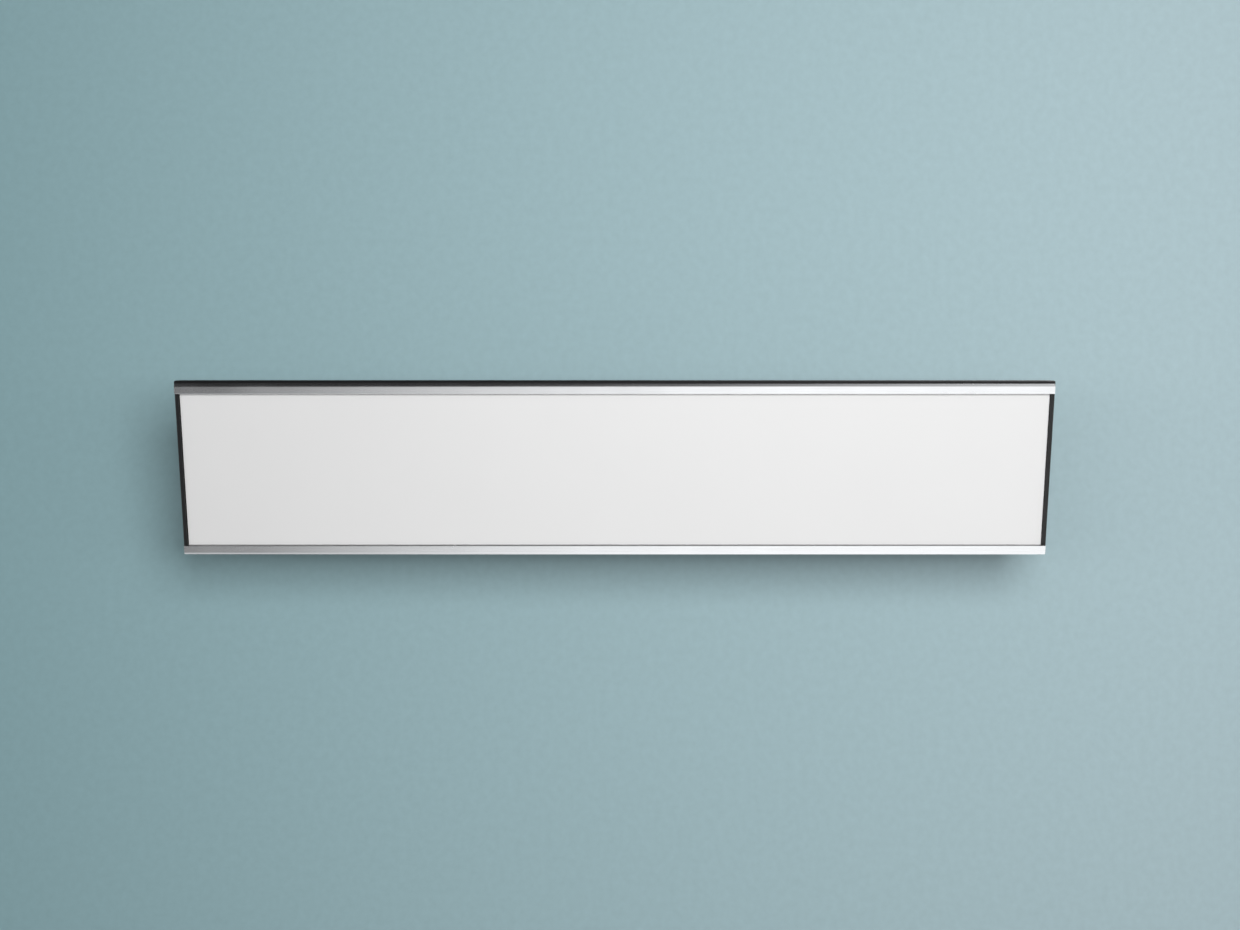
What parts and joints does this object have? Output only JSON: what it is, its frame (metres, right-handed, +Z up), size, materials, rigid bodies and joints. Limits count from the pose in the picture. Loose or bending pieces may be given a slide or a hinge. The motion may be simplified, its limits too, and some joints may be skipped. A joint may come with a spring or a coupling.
{
  "type": "electric patio heater",
  "caption": "Slim wall-mounted electric radiant heater with a white glass front, bright metal edge trims and a black housing that tilts on wall brackets.",
  "frame": {"origin": "centre of the four wall holes, on the wall plane", "axes": "+Z up, +X along the heater to the right as seen from the room, +Y into the wall"},
  "size_m": [0.946, 0.149, 0.1891],
  "materials": {
    "white_glass": "satin",
    "anodised_aluminium": "satin",
    "black_coated_aluminium": "satin",
    "black_coated_steel": "satin",
    "zinc_plated_steel": "satin",
    "black_zinc_steel": "satin",
    "silicone": "matte",
    "bright_reflector": "polished",
    "quartz": "gloss",
    "carbon_ribbon": "matte",
    "white_ceramic": "matte",
    "fibre_board": "matte",
    "brass": "satin",
    "black_rubber": "matte",
    "lead_insulation": "satin",
    "black_nylon": "satin",
    "white_nylon": "satin",
    "brown_phenolic": "satin"
  },
  "bodies": {
    "wall_mount": {"left_wall_bracket": "black_coated_steel", "right_wall_bracket": "black_coated_steel", "pivot_bolts": "zinc_plated_steel", "pivot_nuts": "zinc_plated_steel"},
    "heater": {"front_glass": "white_glass", "top_trim": "anodised_aluminium", "bottom_trim": "anodised_aluminium", "top_gasket": "silicone", "bottom_gasket": "silicone", "rear_housing": "black_coated_aluminium", "left_end_plate": "black_coated_aluminium", "right_end_plate": "black_coated_aluminium", "end_plate_screws": "black_zinc_steel", "upper_quartz_tube": "quartz", "lower_quartz_tube": "quartz", "upper_heating_ribbon": "carbon_ribbon", "lower_heating_ribbon": "carbon_ribbon", "ceramic_caps": "white_ceramic", "element_pins": "zinc_plated_steel", "bus_nuts": "zinc_plated_steel", "tube_clips": "zinc_plated_steel", "left_element_support": "zinc_plated_steel", "right_element_support": "zinc_plated_steel", "support_screws": "black_zinc_steel", "left_bus_bar": "brass", "right_bus_bar": "brass", "reflector": "bright_reflector", "insulation_board": "fibre_board", "left_rail": "anodised_aluminium", "right_rail": "anodised_aluminium", "rail_rivets": "zinc_plated_steel", "terminal_box": "black_coated_steel", "box_rivets": "zinc_plated_steel", "terminal_cover": "black_coated_steel", "cover_screws": "zinc_plated_steel", "lead_grommet": "black_rubber", "terminal_block": "white_ceramic", "terminal_clamps": "brass", "thermal_cutout": "brown_phenolic", "earth_stud": "brass", "live_link": "lead_insulation", "left_lead": "lead_insulation", "right_lead": "lead_insulation", "earth_lead": "lead_insulation", "gland_body": "black_nylon", "gland_locknut": "black_nylon", "gland_nut": "black_nylon", "gland_seal": "black_rubber", "left_heater_bracket": "black_coated_steel", "right_heater_bracket": "black_coated_steel", "pivot_bushes": "white_nylon", "lock_bolts": "zinc_plated_steel", "lock_nuts": "zinc_plated_steel", "t_bolts": "zinc_plated_steel", "t_bolt_nuts": "zinc_plated_steel"}
  },
  "joints": [
    {"name": "tilt", "type": "hinge", "parent": "wall_mount", "child": "heater", "pos_m": [0, -0.042, 0], "axis": [1, 0, 0], "range_deg": [-12, 33]}
  ]
}
